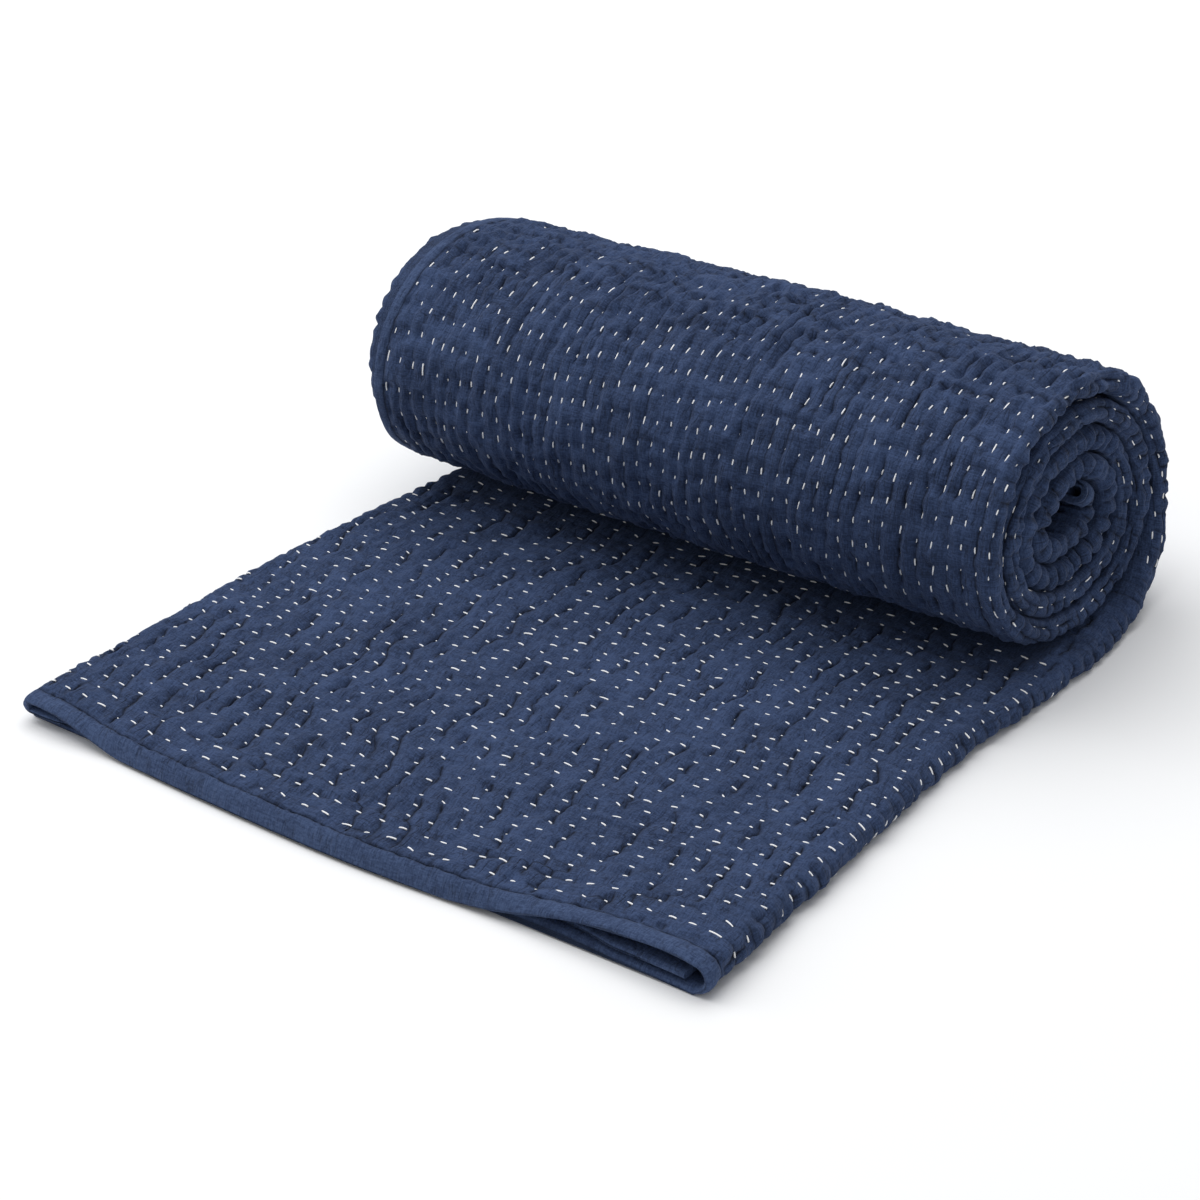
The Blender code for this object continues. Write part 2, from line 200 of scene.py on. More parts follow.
# The round swells along the sewn folds: their length, how far from the front seam they start, in metres,
# and their size on either fold.
SCALLOP = 9.6
SCALLOPS_START = 0.02
LEFT_SCALLOPS = 1.0
RIGHT_SCALLOPS = 0.55

# Each stitch lies this far beside its crease. The flank on that side is the wider one, and the crease's
# line ends between the two reaches.
STITCH_SHIFT = 1.8
CREASE_FLANKS = (3.4, 1.9)
CREASE_REACH = (6.0, 4.5)

# How far the rows on the laid part lie behind a straight line, by the place across.
ROW_SAG = (
    ("across", "back"),
    (-213, 9),
    (-140, 5.5),
    (-70, 1.5),
    (0, 0),
    (70, 1),
    (120, 4.5),
    (165, 10),
    (214, 12),
)

# How much of that sag there is, by the length of cloth from the front edge.
SAG_SHARE = (
    ("along", "share"),
    (0, 0.5),
    (40, 0.8),
    (110, 1),
    (200, 0.55),
    (280, 0.1),
    (340, 0),
    (1800, 0),
)


def column(table, name):
    """One named column of a table, as an array."""
    index = table[0].index(name)
    return np.array([row[index] for row in table[1:]], dtype=float)


def unit(value):
    """A value held between 0 and 1."""
    return np.clip(value, 0.0, 1.0)


def smooth(table, key, name, at):
    """Reads a table between its rows on one smooth curve through them."""
    xs = column(table, key)
    ys = column(table, name)
    slopes = np.gradient(ys, xs)
    i = np.clip(np.searchsorted(xs, at) - 1, 0, len(xs) - 2)
    span = xs[i + 1] - xs[i]
    t = unit((at - xs[i]) / span)
    rise = (3.0 - 2.0 * t) * t * t
    lead = t * (1.0 - t) ** 2 * slopes[i] - t * t * (1.0 - t) * slopes[i + 1]
    return ys[i] + (ys[i + 1] - ys[i]) * rise + lead * span


def step(value, start, end):
    """0 before start, 1 after end, and a soft rise between them."""
    t = unit((value - start) / (end - start))
    return t * t * (3.0 - 2.0 * t)


def between(value, rise_start, rise_end, fall_start, fall_end):
    """1 between a soft rise and a soft fall, and 0 outside them."""
    return step(value, rise_start, rise_end) * (1.0 - step(value, fall_start, fall_end))


def bell(value, width):
    """1 at 0, falling off on both sides over about that width."""
    return np.exp(-((value / width) ** 2))


def noise(salt, a, b):
    """Smooth random values from -1 to 1 over a plane, a new plane for each salt."""
    size = 128
    lattice = np.random.default_rng(SEED + salt).uniform(-1.0, 1.0, (size, size))
    a, b = np.broadcast_arrays(a, b)
    i = np.floor(a).astype(int)
    j = np.floor(b).astype(int)
    s = step(a - i, 0.0, 1.0)
    t = step(b - j, 0.0, 1.0)
    near = lattice[i % size, j % size] * (1.0 - s) + lattice[(i + 1) % size, j % size] * s
    far = lattice[i % size, (j + 1) % size] * (1.0 - s) + lattice[(i + 1) % size, (j + 1) % size] * s
    return near * (1.0 - t) + far * t


# ---- the path of the cloth ----


def outer_face(angle):
    """The (y, z) of the winding's outer face after so many degrees: a closing spiral of squashed turns."""
    reaches = []
    for start, first, second in ((0.0, "bottom", "top"), (90.0, "back", "front")):
        turns = np.stack([column(WINDING, first), column(WINDING, second)], axis=1).ravel()
        table = [(i * 180.0 + start, reach) for i, reach in enumerate(turns)]
        reaches.append(smooth((("at", "reach"), *table), "at", "reach", angle) / MM)
    high, wide = reaches
    turn = np.radians(angle)
    sides = np.abs(np.sin(turn) / wide) ** SQUARENESS + np.abs(np.cos(turn) / high) ** SQUARENESS
    reach = sides ** (-1.0 / SQUARENESS)
    back = reach * np.sin(turn)
    up = -reach * np.cos(turn)
    lean = LEAN * np.minimum(high / ROLL_MIDDLE_Z, 1.0)
    return ROLL_MIDDLE_Y + back - lean * up, np.maximum(ROLL_MIDDLE_Z + up, 0.0)


def winding(angle):
    """The outer face's point at an angle, and the way inward from it."""
    y, z = outer_face(angle)
    y_after, z_after = outer_face(angle + 1.0)
    y_before, z_before = outer_face(angle - 1.0)
    reach = np.hypot(y_after - y_before, z_after - z_before)
    return y, z, -(z_after - z_before) / reach, (y_after - y_before) / reach


def wound_lengths():
    """Angles round the winding, and the length of cloth from the front seam to each."""
    angles = np.arange(0.0, END_ANGLE + 31.0, 1.0)
    y, z, in_y, in_z = winding(angles)
    y = y + in_y * STACK / 2.0
    z = z + in_z * STACK / 2.0
    steps = np.hypot(np.diff(y), np.diff(z))
    return angles, FLOOR_LENGTH + np.concatenate([[0.0], np.cumsum(steps)])


ANGLES, LENGTHS = wound_lengths()
END_LENGTH = float(np.interp(END_ANGLE, ANGLES, LENGTHS))
CLOTH_LENGTH = END_LENGTH + 2 * BINDING_WIDTH


def along_at(angle):
    """The length of cloth from the front seam to an angle of the winding."""
    return float(np.interp(angle, ANGLES, LENGTHS))


def place_at(along):
    """Places by the length of cloth from the front seam: the outer face, the way inward and the sides."""
    along = np.asarray(along, dtype=float)
    angle = np.interp(along, LENGTHS, ANGLES)
    y, z, in_y, in_z = winding(angle)
    laid = along <= FLOOR_LENGTH
    sides = ("left", "right", "fold_out")
    left, right, fold_out = (smooth(SIDES, "along", side, along * MM) / MM for side in sides)
    return SimpleNamespace(
        along=along,
        angle=angle,
        y=np.where(laid, BINDING_WIDTH + along, y),
        z=np.where(laid, 0.0, z),
        in_y=np.where(laid, 0.0, in_y),
        in_z=np.where(laid, 1.0, in_z),
        left=left,
        left_fold=left - fold_out + (STACK - SECOND_LAYER) / 2.0,
        right_fold=right - STACK / 2.0,
    )


def rise_at(x, place):
    """How far the upper layers stand above their flat place."""
    total = 0.0
    for across, along, wide, long, height in RISES[1:]:
        beside = (x * MM - across) / wide
        behind = (place.along * MM - along) / long
        total = total + height / MM * np.exp(-beside * beside - behind * behind)
    return total * (1.0 - step(place.along, RISES_FADE_START, RISES_FADE_END))


def droop(place, x, depth):
    """How far back a layer is drawn near the front edge here, and how far down the upper layer hangs."""
    along = place.along
    columns = ("share", "lowest_back", "middle_back")
    share, lowest_back, middle_back = (
        np.maximum(smooth(DROOP_ACROSS, "across", name, x * MM), 0.0) for name in columns)
    share = np.minimum(share, 1.0)
    rise = rise_at(x, place)
    middle_rise = MIDDLE_SHARE * rise
    over_lowest = (depth - LAYER) / (LAYER_GAP + middle_rise)
    over_middle = (depth - 2 * LAYER - LAYER_GAP - middle_rise) / (LAYER_GAP + rise - middle_rise)
    middle = unit(over_lowest)
    upper = unit(over_middle)
    back = lowest_back / MM * (1.0 - middle) + middle_back / MM * (middle - upper)
    fall = unit((DROOP_START - along) / (DROOP_START + BINDING_WIDTH))
    fade = 1.0 - step(along, -BINDING_WIDTH, BACK_LENGTH)
    beside = np.minimum(1.0 + along / BINDING_WIDTH, 1.0 - step(along, 0.0, SEAM_LENGTH))
    forward = SEAM_FORWARD * share**3 * upper * beside
    return back * fade - forward, DROOP * share**3 * upper * fall**2


def world(place, x, depth):
    """The points in space of places across the strip and depths inward from its outer face."""
    y = place.y + place.in_y * depth
    z = place.z + place.in_z * depth
    back, down = droop(place, x, depth)
    bow = smooth(FRONT_BOW, "across", "forward", x * MM) / MM
    y = y + back - bow * (1.0 - step(place.along, 0.0, BOW_LENGTH))
    z = np.maximum(z - down, 0.0) * (1.0 + ROLL_TILT * x)
    return np.stack(np.broadcast_arrays(x - ORIGIN_X, y - ORIGIN_Y, z), axis=-1)


# ---- the quilting's relief ----


def row_places(start, gap):
    """How far from the cloth's edge each row of stitches runs, in mm."""
    return np.concatenate([start, start[-1] + gap * np.arange(1, ROWS)])


FRONT_ROWS = row_places(FRONT_ROWS_START, FRONT_ROW_GAP)
SIDE_ROWS = row_places(SIDE_ROWS_START, SIDE_ROW_GAP)


def row_wander(salt, run, far):
    """How far a row of stitches strays from its place, in mm."""
    loose = np.clip((far - 12.0) / 40.0, 0.15, 1.0)
    waver = 0.8 * noise(salt + 1, run / 24.0, far / 12.0)
    return loose * (3.0 * noise(salt, run / 75.0, far / 30.0) + waver)


def row_sag(x, along):
    """How far a row lies behind a straight line here, in mm: x is in metres, along in mm from the edge."""
    return smooth(ROW_SAG, "across", "back", x * MM) * smooth(SAG_SHARE, "along", "share", along)


def chain_shift(salt, run, far):
    """How the chains of stitches from row to row lean and waver, in stitches."""
    lean = 0.9 * noise(salt + 2, run / 210.0, far / 130.0)
    return lean + 0.26 * noise(salt + 3, run / 48.0, far / 21.0)


def rows_relief(salt, run, far, rows, pitch, gain):
    """The relief by one set of rows, in mm: run is along them and far is from the cloth's edge, in mm.

    Also gives the way to the nearest crease across the rows and to the nearest furrow along them, in mm,
    and how deep each is."""
    places = np.concatenate([[rows[0] - MEAN_ROW_GAP], rows])
    number = np.interp(far + row_wander(salt, run, far), places, np.arange(-1, len(rows)))
    row = np.round(number)
    off_row = (number - row) * MEAN_ROW_GAP
    chains = run / pitch + chain_shift(salt, run, far)
    chain = np.round(chains)
    off_chain = (chains - chain) * pitch
    strays = 1.6 * noise(salt + 4, chain, far / 11.0) + 0.8 * noise(salt + 9, chain, far / 4.0)
    off_crease = off_chain + strays
    broken = 0.6 * noise(salt + 12, 3.0 * chain, far / 5.5)
    strength = unit(0.42 + 1.2 * noise(salt + 5, chain, far / 14.0) + broken)
    open_here = step(np.abs(off_crease), *CREASE_REACH)
    flank = np.where(off_crease > 0.0, *CREASE_FLANKS)
    valley = 1.35 * np.exp(-np.abs(off_crease) / flank) + 0.45 * np.exp(-np.abs(off_crease) / 0.9) - 0.45
    run_on = unit(0.3 + 1.5 * noise(salt + 10, run / 11.0, 0.7 * row))
    off_furrow = off_row + 0.9 * noise(salt + 11, run / 8.0, row)
    furrow = np.exp(-np.abs(off_furrow) / 1.6)
    crown = 0.35 * (np.abs(off_row) / (MEAN_ROW_GAP / 2.0))
    dimple = gain["dimple"] * bell(off_chain - STITCH_SHIFT, 3.0) * bell(off_row, 2.0)
    groove = gain["groove"] * (0.5 + 1.1 * run_on) * furrow
    height = crown - gain["crease"] * strength * valley - groove - dimple
    lumps = gain["lump"] * noise(salt + 6, run / 13.0, far / 11.0)
    puffs = (0.7 + 1.6 * gain["puff"]) * (0.3 - np.abs(noise(salt + 7, run / 9.5, far / 8.0)))
    crumple = gain["crumple"] * (0.3 - np.abs(noise(salt + 8, run / 4.4, far / 6.5)))
    lines = {
        "crease_off": off_crease,
        "crease_depth": unit(gain["crease"] * strength) * open_here,
        "furrow_off": off_furrow,
        "furrow_depth": unit(gain["furrow"] * run_on) * step(np.abs(off_row), 4.4, 3.2),
    }
    return height + lumps + puffs + crumple, lines


# How strong each part of the relief is: on the laid part, and how much more in its border; then on the
# roll, and how much more at its right end, on its top, low in front and at its left end.
GAINS = (
    ("part", "laid", "border", "wound", "right", "top", "low", "left"),
    ("groove", 0.15, 0.85, 0.6, 0.4, 0.7, 1.1, 0.2),
    ("furrow", 0.2, 0.75, 0.5, 0.4, 0.15, 0.45, 0),
    ("crease", 1.55, -0.3, 0.25, 0.05, 0.45, 0, 0),
    ("dimple", 1, 0, 1.3, 0, 1.2, 0, 0),
    ("lump", 0.95, 0, 1.2, 0, 0.6, 0, 0),
    ("puff", 0.3, 0, 0.7, 0, 1, 0, 0),
    ("crumple", 1.1, 0, 0.8, 0, 0, 0, 0),
)


def gains(place, x):
    """How strong each part of the relief is at a place."""
    rolled = step(place.angle, 5.0, 30.0)
    border = bell(np.maximum(place.along * MM - 14.0, 0.0), 14.0)
    right = step(x, 0.02, 0.14)
    top = bell(place.angle - 172.0, 42.0)
    low = step(place.angle, 262.0, 300.0)
    left = step(x, -0.14, -0.19)
    gain = {}
    for part, laid, in_border, wound, *more in GAINS[1:]:
        for extra, where in zip(more, (right, top, low, left)):
            wound = wound + extra * where
        gain[part] = (laid + in_border * border) * (1.0 - rolled) + wound * rolled
    return gain


def seam_relief(off_seam, run, salt):
    """The dip at the binding's seam and the small puckers beside it, in mm."""
    beside = bell(np.maximum(off_seam, 0.0), 6.0) * bell(np.minimum(off_seam, 0.0), 3.0)
    pucker = noise(salt, run / 5.2, off_seam / 30.0)
    return (0.25 - 1.0 * np.abs(pucker)) * beside - 0.7 * np.exp(-np.abs(off_seam) / 1.3)


def mix(first, second, share):
    """Two reliefs, blended by the second's share, with the lines of the one that has more of it."""
    height = first[0] * (1.0 - share) + second[0] * share
    return height, {key: np.where(share < 0.5, first[1][key], second[1][key]) for key in first[1]}


def fade(lines, share):
    """Leaves that share of the depth of the creases and the furrows."""
    for key in ("crease_depth", "furrow_depth"):
        lines[key] = lines[key] * share


def relief(place, u, x):
    """How far the cloth stands out, in mm, and its creases' lines, u across the opened-out cloth."""
    side = np.minimum(u, CLOTH_WIDTH - u) * MM
    along = (place.along + BINDING_WIDTH) * MM
    front = along - row_sag(x, along)
    wound = CLOTH_LENGTH * MM - along
    run = u * MM
    gain = gains(place, x)
    of_border = rows_relief(30, run, front, FRONT_ROWS, BORDER_PITCH, dict(gain, **BORDER_GAINS))
    of_front = rows_relief(30, run, front, FRONT_ROWS, PITCH, gain)
    of_wound = rows_relief(50, run, wound, FRONT_ROWS, PITCH, gain)
    of_side = rows_relief(10, along, side, SIDE_ROWS, SIDE_PITCH, gain)
    of_front = mix(of_border, of_front, step(front, BORDER_END - 2.0, BORDER_END + 2.0))
    of_end = mix(of_wound, of_front, 1.0 * (front < wound))
    share = step(side - np.minimum(front, wound), -3.0, 3.0)
    height, lines = mix(of_side, of_end, share)
    edge = np.minimum(np.minimum(along, wound) - BINDING_WIDTH * MM, side - SIDE_BINDING_WIDTH * MM)
    on_cloth = step(edge, 0.0, 3.0)
    length = run + along
    bound = 0.4 * noise(70, length / 16.0, edge / 40.0) + 0.14 * noise(71, length / 4.0, edge / 4.0)
    height = height * on_cloth + bound * (1.0 - on_cloth)
    height = height + seam_relief(edge, length, 72)
    fade(lines, on_cloth * np.abs(2.0 * share - 1.0))
    lines["seam_off"] = edge
    return height, lines


def fold_scallops(place, turn, size, on_fold, lines):
    """The puckers of a sewn fold, in mm: round swells of that size, with a crease between each two."""
    along = place.along * MM
    beat = (along + 2.5 * noise(80, along / 40.0, place.angle / 360.0)) / SCALLOP
    off = (beat - np.round(beat)) * SCALLOP
    depth = unit(0.62 + 0.8 * noise(81, np.round(beat) * 0.7, turn))
    share = unit(np.cos(turn))
    creased = on_fold & (share > 0.05)
    crease = depth * share * step(np.abs(off), 4.6, 3.4)
    lines["crease_off"] = np.where(creased, off, lines["crease_off"])
    lines["crease_depth"] = np.where(creased, crease, lines["crease_depth"])
    swell = 2.0 * np.sin(np.pi * np.abs(off) / SCALLOP) - 0.7 * np.exp(-np.abs(off) / 1.2) - 1.1
    return np.where(on_fold, size * share * depth * swell, 0.0)


# ---- the folded strip's outer side, and the relief on it ----


def outer_side(place, u):
    """The strip's outer side in section, u along it from its left edge: x, depth, way out and zones."""
    rise_right = rise_at(place.right_fold, place)
    rise_left = rise_at(place.left_fold, place)
    radius = (STACK + rise_right) / 2.0
    loop_start = SECOND_LAYER + MIDDLE_SHARE * rise_left
    small = (STACK + rise_left - loop_start) / 2.0
    to_fold = place.right_fold - place.left
    to_top = to_fold + np.pi * radius
    to_left = to_top + place.right_fold - place.left_fold
    turn = np.clip((u - to_fold) / radius, 0.0, np.pi) - np.pi / 2.0
    back = np.clip((u - to_left) / small, 0.0, np.pi) + np.pi / 2.0
    top_x = place.right_fold - (u - to_top)
    zone = [u <= to_fold, u <= to_top, u <= to_left]
    x = np.select(zone, [place.left + u, place.right_fold + radius * np.cos(turn), top_x],
                  place.left_fold + small * np.cos(back))
    depth = np.select(zone, [0.0 * u, radius + radius * np.sin(turn), STACK + rise_at(top_x, place)],
                      loop_start + small + small * np.sin(back))
    out_x = np.select(zone, [0.0 * u, np.cos(turn), 0.0 * u], np.cos(back))
    out_depth = np.select(zone, [0.0 * u - 1.0, np.sin(turn), 0.0 * u + 1.0], np.sin(back))
    zones = SimpleNamespace(
        to_fold=to_fold,
        to_top=to_top,
        to_left=to_left,
        to_end=to_left + np.pi * small,
        turn=turn,
        back=back,
    )
    return x, depth, out_x, out_depth, zones


# Degrees of the winding: where the outer turn lies free, where it bulges, and where the core starts.
OUTER_TURN = (20.0, 36.0, 308.0, 326.0)
BULGING_TURN = (24.0, 40.0, 308.0, 324.0)
CORE_START = (1190.0, 1230.0)


def room(place, u, zones):
    """How much of the relief shows here: all of it on the free faces, and little where faces touch."""
    angle = place.angle
    outside = between(angle, *OUTER_TURN)
    laid = 1.0 - step(place.along, 0.285, 0.318)
    free = np.maximum(laid, step(angle, *CORE_START))
    near_right = step(u, zones.to_fold - 0.012, zones.to_fold)
    low = np.maximum(outside, 0.35 * near_right * step(angle, 5.0, 30.0))
    fold = 0.35 + 0.65 * np.cos(zones.turn)
    fold = np.maximum(fold, np.where(zones.turn < 0.0, outside, free))
    near_top = 1.0 - step(u, zones.to_top, zones.to_top + 0.012)
    bare = step(place.along, 0.28, 0.30) * (1.0 - step(angle, 60.0, 90.0))
    bare = bare * (1.0 - step(u, zones.to_top + 0.008, zones.to_top + 0.020))
    top = np.maximum(free, np.maximum(0.35 * near_top, 0.9 * bare))
    left = np.maximum(0.7 * -np.cos(zones.back), 0.15)
    zone = [u <= zones.to_fold, u <= zones.to_top, u <= zones.to_left]
    return np.select(zone, [low, fold, top], left)


def surface(along, u, thin=0.0):
    """Points of the cloth's outer side with its relief, and the lines of its creases."""
    place = place_at(along)
    x, depth, out_x, out_depth, zones = outer_side(place, u)
    height, lines = relief(place, u, x)
    shown = room(place, u, zones)
    swell = ROLL_BULGE * (1.0 - (x / place.left) ** 2) * between(place.angle, *BULGING_TURN)
    bulge = np.where(u <= zones.to_fold, swell, 0.0)
    lowest = (u <= zones.to_fold) & (place.along <= 0.0)
    inset = np.where(lowest, LOWEST_THINNING * thin, thin)
    turn = np.where(u < zones.to_top, zones.turn, zones.back - np.pi)
    on_fold = ((u > zones.to_fold) & (u < zones.to_top)) | (u > zones.to_left)
    on_fold = on_fold & (place.along > SCALLOPS_START)
    size = np.where(u > zones.to_left, LEFT_SCALLOPS, RIGHT_SCALLOPS)
    scallops = fold_scallops(place, turn, size, on_fold, lines)
    out = (height * shown + scallops) / MM + bulge - inset
    fade(lines, unit(shown + 0.4))
    return world(place, x + out_x * out, depth + out_depth * out), lines


def base_surface(along, u):
    """Points of the cloth's outer side without its relief."""
    place = place_at(along)
    x, depth = outer_side(place, u)[:2]
    return world(place, x, depth)


# ---- meshes ----

SHARP_ANGLE = math.radians(62.0)


def new_object(name, data):
    """Puts a new object into the scene."""
    made = bpy.data.objects.new(name, data)
    bpy.context.scene.collection.objects.link(made)
    return made


def add_mesh(name, points, faces, lines, uv):
    """One closed mesh object, shaded smooth, with its creases' lines as attributes."""
    mesh = bpy.data.meshes.new(name)
    mesh.from_pydata(points.tolist(), [], faces)
    mesh.validate()
    corners = np.zeros(len(mesh.loops), dtype=np.int32)
    mesh.loops.foreach_get("vertex_index", corners)
    for key, values in lines.items():
        attribute = mesh.attributes.new(key, "FLOAT", "POINT")
        attribute.data.foreach_set("value", values.ravel().astype(np.float32))
    layer = mesh.uv_layers.new(name="cloth")
    layer.data.foreach_set("uv", uv[corners].astype(np.float32).ravel())
    mesh.shade_smooth()
    mesh.set_sharp_from_angle(angle=SHARP_ANGLE)
    return new_object(name, mesh)


def padded(lines, plain):
    """The creases' lines with a stretch added that has none."""
    far = {"crease_off": 9.0, "furrow_off": 9.0, "seam_off": 30.0}
    return {key: np.concatenate([lines[key], 0.0 * plain + far.get(key, 0.0)], axis=1) for key in lines}


def loft(name, along, outer, outer_u, lines, inner, inner_u):
    """A closed mesh with flat ends through rings of points, each with its outer side and its inner one."""
    rings = np.concatenate([outer, inner], axis=1)
    u = np.concatenate([outer_u, inner_u], axis=1)
    uv = np.stack([u, np.broadcast_to(along, u.shape)], axis=-1)
    rows, count = rings.shape[:2]
    points = rings.reshape(-1, 3)
    index = np.arange(rows * count).reshape(rows, count)
    here = index[:-1]
    ahead = index[1:]
    beside = np.roll(here, -1, axis=1)
    opposite = np.roll(ahead, -1, axis=1)
    quads = np.stack([here, beside, opposite, ahead], axis=-1).reshape(-1, 4)
    ends = [index[0][::-1].tolist(), index[-1].tolist()]
    a, b, c, d = (points[quads[:, k]] for k in range(4))
    volume = np.einsum("ij,ij->", a, np.cross(b, c)) + np.einsum("ij,ij->", a, np.cross(c, d))
    faces = quads.tolist() + ends
    if volume < 0.0:
        faces = [face[::-1] for face in faces]
    return add_mesh(name, points, faces, padded(lines, inner_u), uv.reshape(-1, 2))


def inside_runs(place, low_left, middle_end, columns, thin):
    """The section's inner side, from the left fold round the middle layer and back to the free edge."""
    t = np.linspace(0.0, 1.0, columns + 1)[None, :]
    near = t ** 1.4
    left_fold = place.left_fold
    right_fold = place.right_fold
    radius = (STACK + rise_at(right_fold, place)) / 2.0
    inner = radius - LAYER + thin
    out_x = middle_end - (middle_end - left_fold) * near
    back_x = left_fold + (right_fold - left_fold) * (1.0 - near[:, ::-1])
    mid_low = out_x[:, ::-1]
    turn = np.pi / 2.0 - np.pi * np.linspace(0.0, 1.0, 9)[None, :]
    low_x = right_fold - (right_fold - low_left) * near
    return [
        (mid_low, SECOND_LAYER + thin + MIDDLE_SHARE * rise_at(mid_low, place)),
        (out_x, SECOND_LAYER + LAYER - thin + MIDDLE_SHARE * rise_at(out_x, place)),
        (back_x, STACK - LAYER + thin + rise_at(back_x, place)),
        (right_fold + inner * np.cos(turn), radius + inner * np.sin(turn)),
        (low_x, LAYER - (2.0 - LOWEST_THINNING) * thin + 0.0 * low_x),
    ]


def folded_piece(name, along, columns, thin=None):
    """A length of the folded strip as one closed mesh: columns places the points across each outer zone,
    and says how many each inner run has."""
    outer_shares, inner_count = columns
    along = along[:, None]
    place = place_at(along)
    seam = SIDE_BINDING_WIDTH if thin is None else 0.0
    thin = np.zeros_like(along) if thin is None else thin[:, None]
    low_left = place.left + seam
    middle_end = place.right_fold - MIDDLE_LAYER_SHORT - seam
    zones = outer_side(place, np.zeros_like(along))[4]
    limits = [low_left - place.left, zones.to_fold, zones.to_top, zones.to_left, zones.to_end]
    runs = zip(limits, limits[1:], outer_shares)
    u = np.concatenate([start + (end - start) * shares for start, end, shares in runs], axis=1)
    outer, lines = surface(along, u, thin)
    inside = inside_runs(place, low_left, middle_end, inner_count, thin)
    inside[0] = tuple(run[:, 1:] for run in inside[0])
    inner = np.concatenate([world(place, x, depth) for x, depth in inside], axis=1)
    inner_u = np.concatenate([x for x, _ in inside], axis=1)
    return loft(name, along, outer, u, lines, inner, inner_u)


def spread(count, last=False):
    """Even shares from 0 up to 1, 1 left out unless it is the last zone."""
    return np.linspace(0.0, 1.0, count, endpoint=last)


def seamed(parts):
    """Rows along the cloth: from, to and how many, joined end to end."""
    runs = [np.linspace(start, end, count, endpoint=False) for start, end, count in parts]
    return np.concatenate(runs + [[parts[-1][1]]])


def end_sides(count):
    """Shares from 0 to 1 that crowd at both ends, where the roll's ends show."""
    t = np.linspace(0.0, 1.0, count, endpoint=False)
    return t - 0.11 * np.sin(2.0 * np.pi * t) - 0.02 * np.sin(4.0 * np.pi * t)


# The points lie close where a length of cloth shows, and further apart where it is covered.
UNDER_ROLL = along_at(4.0)
TURN_END = along_at(352.0)
SHOWN_END = 0.29

near_fold = 1.0 - (1.0 - spread(26)) ** 2.2
laid_columns = ([spread(8), spread(16), spread(300), spread(8, True)], 9)
outer_columns = ([spread(235), spread(16), spread(8), spread(8, True)], 5)
inner_columns = ([near_fold, spread(16), end_sides(70), spread(8, True)], 6)

laid_rows = seamed([(0.0, SHOWN_END, 203), (SHOWN_END, UNDER_ROLL, 55)])
outer_rows = seamed([
    (UNDER_ROLL, along_at(120.0), 120),
    (along_at(120.0), along_at(335.0), 200),
    (along_at(335.0), TURN_END, 8),
])
inner_rows = seamed([(TURN_END, END_LENGTH, 560)])

cloth_laid = folded_piece("cloth_laid", laid_rows, laid_columns)
cloth_outer = folded_piece("cloth_outer_turn", outer_rows, outer_columns)
cloth_inner = folded_piece("cloth_inner_turns", inner_rows, inner_columns)

# ---- bindings ----


def rim(reach):
    """How much the binding thins on each face, by the share of its width from the seam."""
    full = np.sqrt(unit(1.0 - (np.clip(reach - 0.55, 0.0, 0.45) / 0.452) ** 2))
    return LAYER * (1.0 - (0.12 + 0.88 * full)) / 2.0


def end_binding(name, start, direction, top_columns):
    """The binding across one end of the folded strip, round all its layers."""
    reach = 1.0 - (1.0 - np.linspace(0.0, 1.0, 15)) ** 1.5
    along = start + direction * BINDING_WIDTH * reach
    columns = ([spread(200), spread(20), spread(top_columns), spread(9, True)], 60)
    return folded_piece(name, along, columns, thin=rim(reach))


front_binding = end_binding("bound_front_edge", 0.0, -1.0, 318)
wound_binding = end_binding("bound_wound_edge", END_LENGTH, 1.0, 120)


def edge_strip(name, along, place, x_seam, x_edge, depth, outer_relief):
    """The binding along a free long edge: a strip from its seam to its rounded rim."""
    reach = 1.0 - (1.0 - np.linspace(0.0, 1.0, 14)) ** 1.5
    thin = rim(reach)[None, :]
    x = x_seam + (x_edge - x_seam) * reach[None, :]
    u = np.abs(x - x_edge)
    height, lines = relief(place, u, x)
    under = depth + LOWEST_THINNING * thin - height / MM * outer_relief
    over = depth + LAYER - (2.0 - LOWEST_THINNING) * thin
    upper = world(place, x, over)[:, ::-1]
    return loft(name, along, world(place, x, under), u, lines, upper, u[:, ::-1])


side_rows = seamed([(0.0, END_LENGTH, 900)])[:, None]
side_place = place_at(side_rows)
outer_edge = side_place.left
side_binding = edge_strip("bound_outer_edge", side_rows, side_place, outer_edge + SIDE_BINDING_WIDTH,
                          outer_edge, 0.0 * side_rows, between(side_place.angle, *OUTER_TURN))
middle_edge = side_place.right_fold - MIDDLE_LAYER_SHORT
middle_seam = middle_edge - SIDE_BINDING_WIDTH
middle_depth = SECOND_LAYER + MIDDLE_SHARE * rise_at(middle_seam, side_place)
inner_binding = edge_strip("bound_inner_edge", side_rows, side_place, middle_seam,
                           middle_edge, middle_depth, 0.0 * side_rows)

# ---- running stitches ----

# The thread's width, a stitch's length and its rise. On the roll and in the border stitches are longer.
# Lengths spread by a share of them, and a small share of the stitches is half as long.
THREAD = 0.00088
STITCH = 0.0040
ARCH = 0.00022
ROLL_STITCH = 1.2
BORDER_STITCH = 1.2
LENGTH_SPREAD = 0.18
SHORT_SHARE = 0.08

# At the roll's end the thread sinks in: it shows thinner, and a share of the stitches doesn't show.
END_THREAD = 0.68
END_DROPPED = 0.25

# The rows on the laid part, the stretch of each row that may show, how far the stitches stray along their
# row and out of it, all in mm, and where the rows end under the roll, in metres.
LAID_ROWS = 36
LAID_RUN = (385.0, 870.0)
ROLL_RUN = (300.0, 1720.0)
BORDER_JITTER = 0.5
LAID_JITTER = 1.0
ROLL_JITTER = 0.9
ROW_JITTER = 0.5
SEWN_END = 0.315

